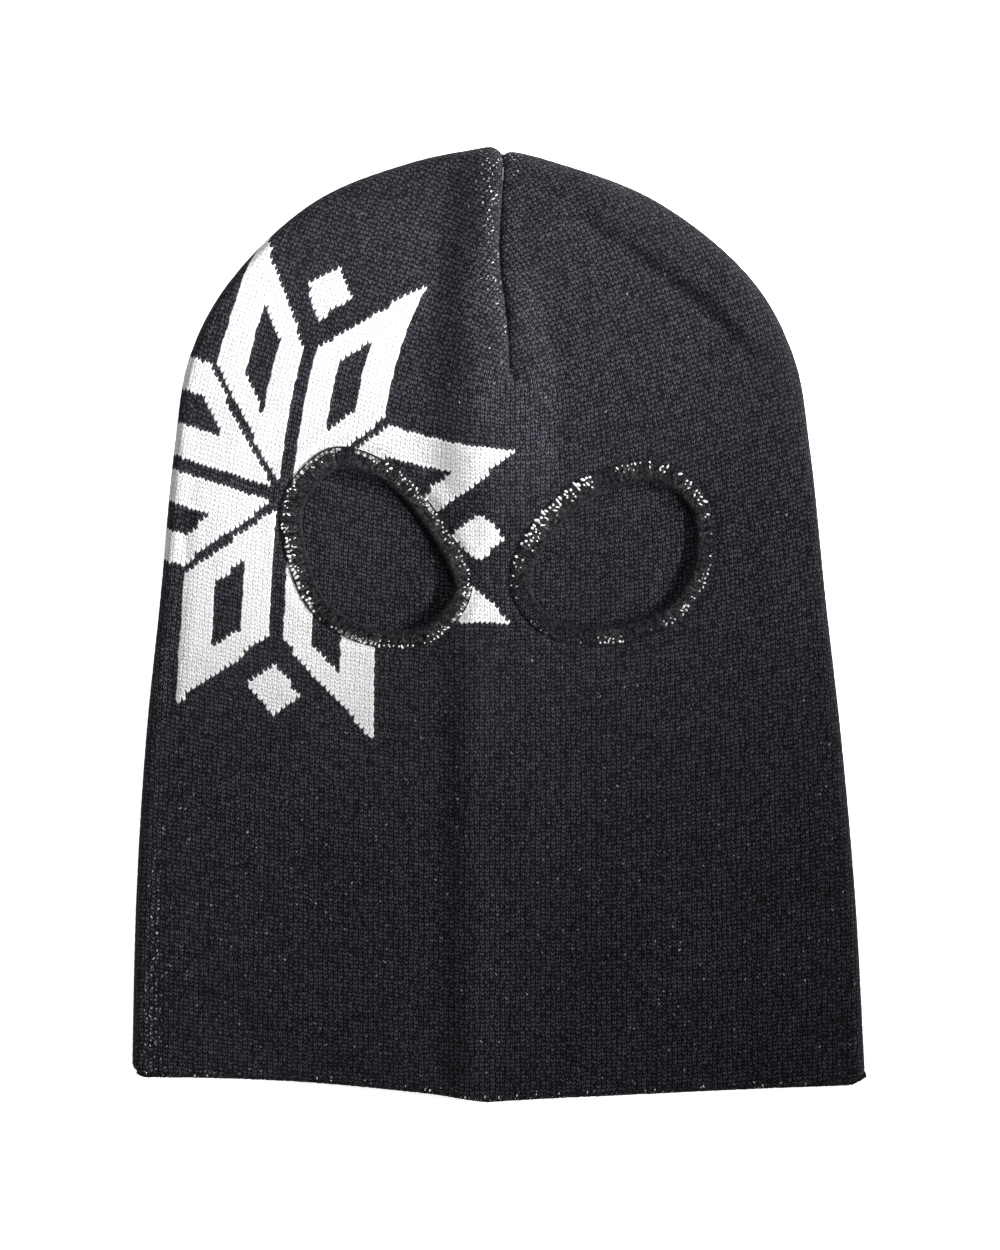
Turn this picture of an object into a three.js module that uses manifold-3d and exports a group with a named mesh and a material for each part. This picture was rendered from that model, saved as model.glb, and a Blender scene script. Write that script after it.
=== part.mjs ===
// A knitted balaclava laid flat on its back: two jacquard panels, their overlocked seams and edgings.
// Millimetres. +X is the viewer's right, +Y runs from the neck to the crown, +Z is up from the table.
// The origin is the middle of the underside's bounding box.
import * as THREE from "three";
import { mergeVertices } from "three/addons/utils/BufferGeometryUtils.js";
import Module from "manifold-3d";

const wasm = await Module();
wasm.setup();

// ---- driving dimensions ----------------------------------------------------------------------
const GAP = 0.3; // clearance between pieces that touch
const FABRIC = 2.4; // thickness of the double knit
const FOLD_RADIUS = 5; // outside radius of the rounded side folds
const INNER_RADIUS = FOLD_RADIUS - FABRIC;
const CROWN_LOFT = 2; // how far the crown dart's seam props up the front, above its folds
const LOFT_REACH = 40; // distance from the folds over which the front rises
const LOFT_START_Y = 30; // the front is level up to here
const NECK_EDGE_DEPTH = 1.4; // the bound-off stitches along the neck
const LOWEST_Y = -169.6; // the neck's lowest point, in the middle
const CORNER_Y = { left: -159, right: -161.5 }; // the neck at the side folds
const NECK_BEND = { left: 2, right: 1 }; // how late the neck edge dips: 1 is a straight slope
const TIP = [-3, 169.6]; // the crown's highest point

// Where the crown's rays meet: the panels' mesh fans out from here to the crown.
const HUB = new THREE.Vector2(-4, 60);

// The outline of the flat garment, from the neck corner up each side to the tip.
const LEFT_OUTLINE = [
  [-130, CORNER_Y.left], [-128.5, -97], [-125, -40], [-120, 9], [-115, 62],
  [-109.5, 95], [-95, 122], [-65, 150], [-30, 164], TIP,
];
const RIGHT_OUTLINE = [
  [130, CORNER_Y.right], [126.5, -97], [121.5, -40], [116, 9], [110.5, 62],
  [105, 94], [90, 122], [56, 150], [18, 164.5], TIP,
];

// Each eye opening's overlocked band, along the band's outer edge.
const EYE_BAND = 6; // width of the band, from its outer edge to the cut edge of the knit
const LEFT_EYE = [
  [-60, 62.5], [-76.5, 45], [-75.5, 25], [-66.5, 4.5], [-46, -7.5],
  [-23, -6], [-9.5, 12], [-18.5, 34.5], [-38.5, 57],
];
const RIGHT_EYE = [
  [4, 14], [12, 36], [31, 52.5], [55, 58], [72.5, 46],
  [76, 22], [65, 2.5], [42, -6.8], [15.5, -3],
];
const YARN_LAYER = 0.8; // thickness of the overlock yarn over the knit
const EYE_STATIONS = 44;

// The crown darts: a slit from the tip, closed by an overlocked ridge on the inside.
const DART_SLIT = 0.8;
const DART_TOP = [1.6, 175];
const DART_FOOT = [4, 87];
const DART_BEAD_RADIUS = 1.2;
const DART_SEAM_TOP = 0.8; // how far up the slit the ridge runs, clear of the crown seams
const DART_STEPS = 10;

// The side and crown seams: a bead of overlock stitches inside the fold.
const SEAM_RADIUS = 2;
const SEAM_SPLIT = 0.6; // where the side seam ends and the crown seam begins, along each side
const SEAM_START = 0.006;
const SEAM_TOP = 0.975;
const TACK_START = 0.982;
const SEAM_PAUSE = 0.003; // half the gap between one seam's end and the next one's start
const SEAM_STEPS = 16;
const TACK_STEPS = 2;
const BEAD_SIDES = 6;

const SIDE_STATIONS = 30; // mesh stations up each side
const FOLD_STEPS = 4;
const FACE_STEPS = 8;
const FACE_GRADING = 1.3; // above 1, the steps are finer near the folds

// ---- outline ---------------------------------------------------------------------------------
const flatCurve = (points, closed) => new THREE.CatmullRomCurve3(
  points.map(([x, y]) => new THREE.Vector3(x, y, 0)), closed, "centripetal");

const outlines = { left: flatCurve(LEFT_OUTLINE, false), right: flatCurve(RIGHT_OUTLINE, false) };
const outlinePoint = (side, s) => {
  const p = outlines[side].getPointAt(s);
  return new THREE.Vector2(p.x, p.y);
};
const OUTLINE_SAMPLES = 160;
const outlineSamples = ["left", "right"].flatMap((side) =>
  Array.from({ length: OUTLINE_SAMPLES + 1 }, (_, i) => outlinePoint(side, i / OUTLINE_SAMPLES)));

const edgeDistance = (x, y) =>
  Math.min(...outlineSamples.map((p) => Math.hypot(p.x - x, p.y - y)));

// A station's row runs from the outline to the middle line, and from the crown all rays run to the hub.
// The rows dip towards the middle at the neck, less and less up to the hub.
function stationRow(side, s) {
  const edge = outlinePoint(side, s);
  const level = (outlinePoint("left", s).y + outlinePoint("right", s).y) / 2;
  const fade = 1 - THREE.MathUtils.smoothstep(level, LOWEST_Y, HUB.y);
  const kinkY = LOWEST_Y + GAP + NECK_EDGE_DEPTH;
  const neckY = (CORNER_Y.left + CORNER_Y.right) / 2;
  const middle = new THREE.Vector2(HUB.x, Math.min(level + (kinkY - neckY) * fade, HUB.y));
  const bend = (CORNER_Y[side] - kinkY) * fade;
  const at = (d) => {
    const f = d / edge.distanceTo(middle);
    const p = edge.clone().lerp(middle, f);
    return new THREE.Vector2(p.x, p.y + bend * (f - f ** NECK_BEND[side]));
  };
  return { edge, length: edge.distanceTo(middle), at };
}

// ---- the panels' surfaces --------------------------------------------------------------------
const FRONT_BASE = FOLD_RADIUS + GAP; // height of the front panel's edge, on the folds' middle

// Height of the front panel's outer surface, inside the folds.
function frontHeight(x, y) {
  const reach = Math.min(Math.max(edgeDistance(x, y) - FOLD_RADIUS, 0) / LOFT_REACH, 1);
  const loft = CROWN_LOFT * THREE.MathUtils.smoothstep(y, LOFT_START_Y, DART_FOOT[1]);
  return FRONT_BASE + FOLD_RADIUS + loft * (1 - (1 - reach) ** 2);
}

// One station's outer and inner points, from the outline in to the middle line.
function stationPoints(face, side, s) {
  const { length, at } = stationRow(side, s);
  const place = (d, z) => new THREE.Vector3(at(d).x, at(d).y, z);
  const up = face === "front" ? 1 : -1;
  const base = face === "front" ? FRONT_BASE : FOLD_RADIUS;
  const outer = [];
  const inner = [];
  for (let j = 0; j < FOLD_STEPS; j++) {
    const turn = (j / FOLD_STEPS) * Math.PI / 2;
    outer.push(place(FOLD_RADIUS * (1 - Math.cos(turn)), base + up * FOLD_RADIUS * Math.sin(turn)));
    inner.push(place(FABRIC + INNER_RADIUS * (1 - Math.cos(turn)), base + up * INNER_RADIUS * Math.sin(turn)));
  }
  for (let j = 0; j <= FACE_STEPS; j++) {
    const d = FOLD_RADIUS + (length - FOLD_RADIUS) * (j / FACE_STEPS) ** FACE_GRADING;
    const flat = at(d);
    const height = face === "front" ? frontHeight(flat.x, flat.y) : 0;
    outer.push(place(d, height));
    inner.push(place(d, height - up * FABRIC));
  }
  return { outer, inner };
}

// ---- meshes ----------------------------------------------------------------------------------
function geometryFrom(triangles) {
  const volume = triangles.reduce((sum, [a, b, c]) => sum + a.dot(b.clone().cross(c)), 0);
  const outward = volume > 0 ? triangles : triangles.map(([a, b, c]) => [a, c, b]);
  const geometry = new THREE.BufferGeometry();
  geometry.setFromPoints(outward.flat());
  return mergeVertices(geometry, 1e-3);
}

// Two triangles for each cell between two rows of points, leaving out those with no area.
function strip(rowA, rowB) {
  const triangles = [];
  for (let j = 0; j + 1 < rowA.length; j++) {
    triangles.push([rowA[j], rowA[j + 1], rowB[j + 1]], [rowA[j], rowB[j + 1], rowB[j]]);
  }
  const same = (a, b) => a.distanceTo(b) < 1e-3;
  return triangles.filter(([a, b, c]) => !same(a, b) && !same(b, c) && !same(c, a));
}

// A closed solid through a row of equal section loops, capped at both ends or joined into a ring.
function sweep(sections, ring = false) {
  const loops = sections.map((loop) => [...loop, loop[0]]);
  const triangles = [];
  for (let i = 0; i + 1 < loops.length; i++) {
    triangles.push(...strip(loops[i], loops[i + 1]));
  }
  if (ring) {
    triangles.push(...strip(loops.at(-1), loops[0]));
    return geometryFrom(triangles);
  }
  const first = sections[0];
  const last = sections.at(-1);
  for (let j = 1; j + 1 < first.length; j++) {
    triangles.push([first[0], first[j + 1], first[j]], [last[0], last[j], last[j + 1]]);
  }
  return geometryFrom(triangles);
}

function panelGeometry(face) {
  const row = (side, i) => stationPoints(face, side, i / SIDE_STATIONS);
  const left = Array.from({ length: SIDE_STATIONS + 1 }, (_, i) => row("left", i));
  const right = Array.from({ length: SIDE_STATIONS + 1 }, (_, i) => row("right", i));
  const triangles = [];
  const addHalf = (rows, flip) => {
    const keep = (list) => triangles.push(...(flip ? list.map(([a, b, c]) => [a, c, b]) : list));
    for (let i = 0; i < SIDE_STATIONS; i++) {
      keep(strip(rows[i].outer, rows[i + 1].outer));
      keep(strip(rows[i + 1].inner, rows[i].inner));
      keep(strip([rows[i].inner[0], rows[i].outer[0]], [rows[i + 1].inner[0], rows[i + 1].outer[0]]));
    }
    keep(strip(rows[0].inner, rows[0].outer));
  };
  addHalf(left, false);
  addHalf(right, true);
  return geometryFrom(triangles);
}

// ---- cutting ---------------------------------------------------------------------------------
function toSolid(geometry) {
  const bare = geometry.clone();
  bare.deleteAttribute("normal");
  bare.deleteAttribute("uv");
  const merged = mergeVertices(bare, 1e-4);
  const vertProperties = new Float32Array(merged.attributes.position.array);
  const triVerts = new Uint32Array(merged.index.array);
  return new wasm.Manifold(new wasm.Mesh({ numProp: 3, vertProperties, triVerts }));
}

function toGeometry(solid) {
  const mesh = solid.getMesh();
  const geometry = new THREE.BufferGeometry();
  geometry.setAttribute("position", new THREE.BufferAttribute(new Float32Array(mesh.vertProperties), 3));
  geometry.setIndex(new THREE.BufferAttribute(new Uint32Array(mesh.triVerts), 1));
  return geometry;
}

const CUTTER_BOTTOM = -10;
const CUTTER_HEIGHT = 60;
function cutter(points) {
  const shape = new THREE.Shape(points);
  const geometry = new THREE.ExtrudeGeometry(shape, { depth: CUTTER_HEIGHT, bevelEnabled: false });
  return toSolid(geometry.translate(0, 0, CUTTER_BOTTOM));
}

// ---- eye openings ----------------------------------------------------------------------------
// Points along an eye's band with the direction that leads into the opening.
function eyeStations(points) {
  const curve = flatCurve(points, true);
  const centre = points.reduce((sum, [x, y]) => sum.add(new THREE.Vector2(x, y)), new THREE.Vector2());
  centre.divideScalar(points.length);
  return Array.from({ length: EYE_STATIONS }, (_, i) => {
    const p = curve.getPointAt(i / EYE_STATIONS);
    const tangent = curve.getTangentAt(i / EYE_STATIONS);
    const inward = new THREE.Vector2(-tangent.y, tangent.x);
    if (inward.dot(new THREE.Vector2(centre.x - p.x, centre.y - p.y)) < 0) {
      inward.negate();
    }
    return { p, inward };
  });
}

const bandPoint = ({ p, inward }, depth) =>
  new THREE.Vector2(p.x + inward.x * depth, p.y + inward.y * depth);

// The knit's cut edge lies one band width inside the band's outer edge.
const eyeCutter = (points) => cutter(eyeStations(points).map((station) => bandPoint(station, EYE_BAND)));

// A channel of yarn that wraps the cut edge: over the outside, round the edge and back inside.
function eyeEdgingGeometry(points) {
  const lip = EYE_BAND + GAP;
  const sections = eyeStations(points).map((station) => {
    const at = (depth, lift) => {
      const flat = bandPoint(station, depth);
      return new THREE.Vector3(flat.x, flat.y, frontHeight(flat.x, flat.y) + lift);
    };
    const above = GAP;
    const below = -FABRIC - GAP;
    return [
      at(0, above), at(0, above + YARN_LAYER), at(lip + YARN_LAYER, above + YARN_LAYER),
      at(lip + YARN_LAYER, below - YARN_LAYER), at(0, below - YARN_LAYER), at(0, below),
      at(lip, below), at(lip, above),
    ];
  });
  return sweep(sections, true);
}

// ---- seams -----------------------------------------------------------------------------------
function beadSection(centre, across, radius) {
  return Array.from({ length: BEAD_SIDES }, (_, i) => {
    const turn = (i / BEAD_SIDES) * 2 * Math.PI;
    return centre.clone()
      .addScaledVector(across, radius * Math.cos(turn))
      .add(new THREE.Vector3(0, 0, radius * Math.sin(turn)));
  });
}

// The bead's section inside the fold, at a place along one side's outline.
function foldSection(side, s, radius) {
  const { edge, at } = stationRow(side, s);
  const flat = at(FABRIC + GAP + radius);
  const inward = flat.clone().sub(edge).normalize();
  const centre = new THREE.Vector3(flat.x, flat.y, FOLD_RADIUS + GAP / 2);
  return beadSection(centre, new THREE.Vector3(inward.x, inward.y, 0), radius);
}

function foldSections(side, from, to, steps) {
  const places = Array.from({ length: steps + 1 }, (_, i) => THREE.MathUtils.lerp(from, to, i / steps));
  return places.map((s) => foldSection(side, s, SEAM_RADIUS));
}

const sideSeamGeometry = (side) =>
  sweep(foldSections(side, SEAM_START, SEAM_SPLIT - SEAM_PAUSE, SEAM_STEPS));

const crownSeamGeometry = (side) =>
  sweep(foldSections(side, SEAM_SPLIT + SEAM_PAUSE, SEAM_TOP, SEAM_STEPS));

// The tack crosses the tip, from the end of the left crown seam to the end of the right one.
function crownTackGeometry() {
  const left = foldSections("left", TACK_START, 1, TACK_STEPS);
  const right = foldSections("right", TACK_START, 1, TACK_STEPS);
  return sweep([...left, ...right.toReversed().slice(1)]);
}

const dartPoint = (along) => new THREE.Vector2(
  THREE.MathUtils.lerp(DART_FOOT[0], DART_TOP[0], along),
  THREE.MathUtils.lerp(DART_FOOT[1], DART_TOP[1], along));

function dartCutter() {
  const half = DART_SLIT / 2;
  const foot = dartPoint(0);
  const top = dartPoint(1);
  return cutter([
    new THREE.Vector2(foot.x - half / 2, foot.y), new THREE.Vector2(foot.x + half / 2, foot.y),
    new THREE.Vector2(top.x + half, top.y), new THREE.Vector2(top.x - half, top.y),
  ]);
}

// The overlocked ridge on the inside of a dart, clear of the crown seam at its upper end.
function dartSeamGeometry(face) {
  const across = new THREE.Vector3(1, 0, 0);
  const sections = Array.from({ length: DART_STEPS + 1 }, (_, i) => {
    const flat = dartPoint((i / DART_STEPS) * DART_SEAM_TOP);
    const depth = FABRIC + GAP + DART_BEAD_RADIUS;
    const z = face === "front" ? frontHeight(flat.x, flat.y) - depth : depth;
    return beadSection(new THREE.Vector3(flat.x, flat.y, z), across, DART_BEAD_RADIUS);
  });
  return sweep(sections);
}

// The bound-off stitches: a narrow rail that follows a panel's lower edge from fold to fold.
function neckEdgingGeometry(face) {
  const left = stationPoints(face, "left", 0);
  const right = stationPoints(face, "right", 0);
  const section = (outer, inner) => {
    const lower = (point, drop) => new THREE.Vector3(point.x, point.y - drop, point.z);
    const bottom = GAP + NECK_EDGE_DEPTH;
    return [lower(outer, GAP), lower(inner, GAP), lower(inner, bottom), lower(outer, bottom)];
  };
  const across = left.outer.map((outer, j) => section(outer, left.inner[j]));
  const back = right.outer.map((outer, j) => section(outer, right.inner[j])).toReversed();
  return sweep([...across, ...back.slice(1)]);
}

// ---- assembly --------------------------------------------------------------------------------
const knitted = new THREE.MeshStandardMaterial({ color: 0x2c2b30, roughness: 0.95, metalness: 0 });
const thread = new THREE.MeshStandardMaterial({ color: 0x37363b, roughness: 0.9, metalness: 0 });
const yarn = new THREE.MeshStandardMaterial({ color: 0x232227, roughness: 0.9, metalness: 0 });

function frontPanelGeometry() {
  const cutters = [eyeCutter(LEFT_EYE), eyeCutter(RIGHT_EYE), dartCutter()];
  return toGeometry(cutters.reduce((solid, tool) => solid.subtract(tool), toSolid(panelGeometry("front"))));
}

const backPanelGeometry = () => toGeometry(toSolid(panelGeometry("back")).subtract(dartCutter()));

const pieces = {
  front_panel: [frontPanelGeometry(), knitted],
  back_panel: [backPanelGeometry(), knitted],
  left_side_seam: [sideSeamGeometry("left"), thread],
  right_side_seam: [sideSeamGeometry("right"), thread],
  left_crown_seam: [crownSeamGeometry("left"), thread],
  right_crown_seam: [crownSeamGeometry("right"), thread],
  front_dart_seam: [dartSeamGeometry("front"), thread],
  back_dart_seam: [dartSeamGeometry("back"), thread],
  crown_tack: [crownTackGeometry(), thread],
  left_eye_edging: [eyeEdgingGeometry(LEFT_EYE), yarn],
  right_eye_edging: [eyeEdgingGeometry(RIGHT_EYE), yarn],
  front_neck_edging: [neckEdgingGeometry("front"), yarn],
  back_neck_edging: [neckEdgingGeometry("back"), yarn],
};

const balaclava = new THREE.Group();
for (const [name, [geometry, material]] of Object.entries(pieces)) {
  const mesh = new THREE.Mesh(geometry, material);
  mesh.name = name;
  balaclava.add(mesh);
}

export default balaclava;
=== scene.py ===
"""A knitted ski balaclava laid flat on its back, face up, on a pale floor.

Lengths in this script are millimetres unless a name says otherwise; meshes are scaled to metres
as they are made.
"""
import math

import bpy
import numpy as np
from mathutils.geometry import delaunay_2d_cdt
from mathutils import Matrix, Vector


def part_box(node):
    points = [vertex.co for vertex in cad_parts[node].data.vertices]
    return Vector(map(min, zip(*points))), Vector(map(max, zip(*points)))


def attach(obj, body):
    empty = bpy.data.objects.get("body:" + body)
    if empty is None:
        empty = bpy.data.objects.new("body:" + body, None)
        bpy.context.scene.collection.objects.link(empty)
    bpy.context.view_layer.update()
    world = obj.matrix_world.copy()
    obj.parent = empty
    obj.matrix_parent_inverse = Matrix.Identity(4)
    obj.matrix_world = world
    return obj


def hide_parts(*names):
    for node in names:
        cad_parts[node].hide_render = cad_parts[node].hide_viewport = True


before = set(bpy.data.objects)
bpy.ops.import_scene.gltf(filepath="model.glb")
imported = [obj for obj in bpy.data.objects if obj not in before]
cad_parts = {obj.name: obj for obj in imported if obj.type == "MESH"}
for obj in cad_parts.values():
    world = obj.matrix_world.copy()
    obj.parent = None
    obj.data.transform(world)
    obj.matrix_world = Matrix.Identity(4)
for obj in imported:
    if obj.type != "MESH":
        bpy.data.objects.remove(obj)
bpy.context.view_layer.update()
MM = 0.001

# ---- driving dimensions (the same garment as the CAD solids) ----
FABRIC = 2.4
FOLD_RADIUS = 4.1
TUCK_RADIUS = 1.0  # how tightly each panel's edge turns in at the side seam
TUCK_TURN = math.radians(70)
SEAM_HEIGHT = 5.2  # height of the side seam above the floor
SEAM_GAP = 0.15
SEAM_FABRIC = 0.7  # thickness of the knit squeezed into the seam
FACE_SAG = 3.5  # how far the face sinks below the tops of the folds
CROWN_LOFT = 0.5  # how far the crown stands above them
LOFT_REACH = 60.0
LOFT_START_Y = 30.0
NECK_EDGE_DEPTH = 1.7
HALF_WIDTH = 130
LOWEST_Y = -169.6
CORNER_Y = {"left": -159.0, "right": -161.5}
NECK_BEND = {"left": 2.0, "right": 1.0}
MIDDLE_X = -4.0
TIP = (-3.0, 169.6)
LEFT_OUTLINE = [(-HALF_WIDTH, CORNER_Y["left"]), (-128.5, -97), (-125, -40), (-120, 9), (-115, 62),
                (-109.5, 95), (-95, 122), (-65, 150), (-30, 164), TIP]
RIGHT_OUTLINE = [(HALF_WIDTH, CORNER_Y["right"]), (126.5, -97), (121.5, -40), (116, 9), (110.5, 62),
                 (105, 94), (90, 122), (56, 150), (18, 164.5), TIP]
DART_FOOT = np.array([4.0, 87.0])
DART_TOP = np.array([1.6, 171.0])
DART_BOW = 2.4  # how far the middle of its seam is pulled to the left
DART_BOW_AT = 0.53  # where the bow is widest, as a share of the seam, and how far it reaches
DART_BOW_REACH = 0.24
LEFT_EYE = [(-60, 62.5), (-76.5, 45), (-75.5, 25), (-66.5, 4.5), (-46, -7.5),
            (-23, -6), (-9.5, 12), (-18.5, 34.5), (-38.5, 57)]
RIGHT_EYE = [(4, 14), (12, 36), (31, 52.5), (55, 58), (72.5, 46),
             (76, 22), (65, 2.5), (42, -6.8), (15.5, -3)]
EYE_BAND_NARROW = 4.6  # width of the overlocked band round most of an opening
EYE_BAND_EXTRA = 1.5  # how much wider it is on its upper left
EYE_HIGH_SIDE = math.radians(-29)  # where the edge of each opening stands highest
PULLED_SIDE = math.radians(-130)  # where the right band's needle line bites deepest

# ---- the knit ----
WALE = 1.48  # stitch width in the flat cut piece
COURSE = 1.40  # stitch height
DART_TURN = math.radians(32)  # half the wedge that the crown dart takes out


def smoothstep(low, high, x):
    """0 at low and 1 at high, smooth between; it falls where low is the larger."""
    t = np.clip((x - low) / (high - low), 0, 1)
    return t * t * (3 - 2 * t)


def bell(x, width):
    """1 at x = 0, fading out within about two widths."""
    return np.exp(-(x / width) ** 2)


def catmull_rom(points, closed, step):
    """A centripetal Catmull-Rom curve through points, evenly spaced about step apart."""
    p = np.array(points, float)
    if closed:
        p = np.vstack([p[-1:], p, p[:2]])
    else:
        p = np.vstack([2 * p[0] - p[1], p, 2 * p[-1] - p[-2]])
    dense = []
    for p0, p1, p2, p3 in zip(p, p[1:], p[2:], p[3:]):
        t1 = math.sqrt(np.linalg.norm(p1 - p0))
        t2 = t1 + math.sqrt(np.linalg.norm(p2 - p1))
        t3 = t2 + math.sqrt(np.linalg.norm(p3 - p2))
        t = np.linspace(t1, t2, 40, endpoint=False)[:, None]
        a1 = p0 + (p1 - p0) * t / t1
        a2 = p1 + (p2 - p1) * (t - t1) / (t2 - t1)
        a3 = p2 + (p3 - p2) * (t - t2) / (t3 - t2)
        b1 = a1 + (a2 - a1) * t / t2
        b2 = a2 + (a3 - a2) * (t - t1) / (t3 - t1)
        dense.append(b1 + (b2 - b1) * (t - t1) / (t2 - t1))
    dense.append(dense[0][:1] if closed else p[-2:-1])
    return respaced(np.vstack(dense), step)


def sampled(rows, at, places=None):
    """Rows given at rising places (0, 1, 2... by default), interpolated at other places."""
    places = np.arange(len(rows)) if places is None else places
    return np.column_stack([np.interp(at, places, column) for column in rows.T])


def run_along(line):
    """The distance from a polyline's first point to each of its points."""
    return np.concatenate([[0], np.cumsum(np.linalg.norm(np.diff(line, axis=0), axis=1))])


def respaced(line, step):
    """The same polyline with its points evenly spaced, ends kept."""
    run = run_along(line)
    count = max(2, round(run[-1] / step) + 1)
    return sampled(line, np.linspace(0, run[-1], count), run)


def normals_left(line):
    """Unit normals on the left of the direction of travel."""
    tangent = np.gradient(line, axis=0)
    tangent /= np.linalg.norm(tangent, axis=1)[:, None]
    return np.column_stack([-tangent[:, 1], tangent[:, 0]])


CHUNK = 2000  # points handled at once, to bound the memory


def nearest_on(line, points):
    """For each point, the nearest point on a polyline, and its distance."""
    start, span = line[:-1], np.diff(line, axis=0)
    length2 = (span ** 2).sum(1)
    feet, gaps = [], []
    for chunk in np.array_split(points, len(points) // CHUNK + 1):
        t = np.clip(((chunk[:, None] - start) * span).sum(2) / length2, 0, 1)
        near = start + span * t[..., None]
        dist = np.linalg.norm(chunk[:, None] - near, axis=2)
        best = np.arange(len(chunk)), dist.argmin(1)
        feet.append(near[best])
        gaps.append(dist[best])
    return np.vstack(feet), np.concatenate(gaps)


def inside(polygon, points):
    """Which points lie inside a closed polygon."""
    result = np.zeros(len(points), bool)
    x, y = points[:, 0], points[:, 1]
    for (x0, y0), (x1, y1) in zip(polygon, np.roll(polygon, -1, axis=0)):
        crosses = (y0 > y) != (y1 > y)
        if crosses.any():
            cut = (x1 - x0) * (y - y0) / (y1 - y0) + x0
            result ^= crosses & (x < cut)
    return result


def seeded_noise(points, wavelength, seed):
    """Smooth noise of about unit size, a sum of seeded plane waves."""
    rng = np.random.default_rng(seed)
    total = np.zeros(len(points))
    for turn, phase, size in rng.random((9, 3)):
        k = 2 * math.pi / (wavelength * (0.7 + 0.9 * size))
        way = np.array([math.cos(2 * math.pi * turn), math.sin(2 * math.pi * turn)])
        total += np.sin(points[:, :2] @ way * k + 2 * math.pi * phase)
    return total / 3


# ---- outline and neck line ----
EDGE_STEP = 1.0
LEFT_SIDE = catmull_rom(LEFT_OUTLINE, False, EDGE_STEP)
RIGHT_SIDE = catmull_rom(RIGHT_OUTLINE, False, EDGE_STEP)
OUTLINE = np.vstack([LEFT_SIDE, RIGHT_SIDE[-2::-1]])
FOLD_ARC = FOLD_RADIUS * math.pi / 2
TUCK_ARC = TUCK_RADIUS * TUCK_TURN
EXPAND = FOLD_ARC - FOLD_RADIUS  # how far the unrolled fold reaches past the outline
TUCK_DROP = TUCK_RADIUS * math.sin(TUCK_TURN)


def neck_y(x):
    """The knit's lower edge, which dips to a point at the middle fold."""
    kink = LOWEST_Y + NECK_EDGE_DEPTH

    def half(side, reach):
        share = (1 - np.clip(reach, 0, 1)) ** NECK_BEND[side]
        return CORNER_Y[side] + (kink - CORNER_Y[side]) * share

    left = half("left", (MIDDLE_X - x) / (MIDDLE_X + HALF_WIDTH))
    right = half("right", (x - MIDDLE_X) / (HALF_WIDTH - MIDDLE_X))
    return np.where(x < MIDDLE_X, left, right)


UNROLLED = OUTLINE + normals_left(OUTLINE) * (EXPAND + TUCK_ARC)
SEAM_LINE = OUTLINE + normals_left(OUTLINE) * EXPAND  # where the fold meets the tuck, unrolled


def front_loft(plan, from_edge):
    """The front sinks between its folds over the face, and the dart's seam props it up above."""
    reach = np.clip((from_edge - FOLD_RADIUS) / LOFT_REACH, 0, 1)
    loft = -FACE_SAG + (FACE_SAG + CROWN_LOFT) * smoothstep(LOFT_START_Y, DART_FOOT[1], plan[:, 1])
    return loft * (1 - (1 - reach) ** 2)


def fold_surface(flat, face):
    """Where points of the unrolled panel lie: plan, height, normal and way in from the seam."""
    foot, dist = nearest_on(SEAM_LINE, flat)
    inward = (flat - foot) / np.maximum(dist, 1e-6)[:, None]
    _, from_unrolled = nearest_on(UNROLLED, flat)
    s = np.where(from_unrolled < TUCK_ARC, from_unrolled - TUCK_ARC, dist)
    inward = np.where((s < 0)[:, None], -inward, inward)
    foot = foot + inward * EXPAND
    turn = np.clip(s, 0, FOLD_ARC) / FOLD_RADIUS
    tuck = np.clip(-s, 0, TUCK_ARC) / TUCK_RADIUS
    depth = FOLD_RADIUS * (1 - np.cos(turn)) + np.maximum(s - FOLD_ARC, 0)
    depth = depth + TUCK_RADIUS * (1 - np.cos(tuck))
    rise = FOLD_RADIUS * np.sin(turn) - TUCK_RADIUS * np.sin(tuck)
    plan = foot + inward * depth[:, None]
    side = np.cos(turn) * np.cos(tuck)
    lift = np.sin(turn) - np.sin(tuck)
    normal = np.column_stack([-inward * side[:, None], lift])
    normal /= np.linalg.norm(normal, axis=1)[:, None]
    if face == "front":
        z = SEAM_HEIGHT + SEAM_GAP + TUCK_DROP + rise + front_loft(plan, depth)
    else:
        z = SEAM_HEIGHT - SEAM_GAP - TUCK_DROP - rise
        normal[:, 2] *= -1
    return plan, z, normal, s


# ---- eye openings ----
EYE_STEP = 0.8


class Eye:
    """One opening: its band's outer edge, the directions into the opening and the cut edge."""

    def __init__(self, points):
        self.outer = ring = catmull_rom(points, True, EYE_STEP)[:-1]
        looped = np.vstack([ring[-3:], ring, ring[:3]])
        inward = normals_left(looped)[3:-3]
        if ((ring.mean(0) - ring) * inward).sum() < 0:
            inward = -inward
        self.inward = inward
        up_left = np.array([-0.7, 0.7])
        self.band = EYE_BAND_NARROW + EYE_BAND_EXTRA * np.maximum(0, -inward @ up_left)
        self.cut = ring + inward * self.band[:, None]
        self.closed = np.vstack([ring, ring[:1]])

    def outside(self, points):
        """Distance outside the band's outer edge, negative within it."""
        _, dist = nearest_on(self.closed, points)
        return np.where(inside(self.outer, points), -dist, dist)


EYES = {"left": Eye(LEFT_EYE), "right": Eye(RIGHT_EYE)}


# ---- relief of the front panel ----
def dart_seam(y):
    """Where the dart's seam is at a height, and how far up it, 0 at the foot and 1 at the tip."""
    along = (y - DART_FOOT[1]) / (DART_TOP[1] - DART_FOOT[1])
    straight = DART_FOOT[0] + (DART_TOP[0] - DART_FOOT[0]) * along
    return straight - DART_BOW * bell(along - DART_BOW_AT, DART_BOW_REACH), along


def dart_place(plan):
    """Signed distance right of the dart's seam, and how far up it."""
    seam_x, along = dart_seam(plan[:, 1])
    return plan[:, 0] - seam_x, along


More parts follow.
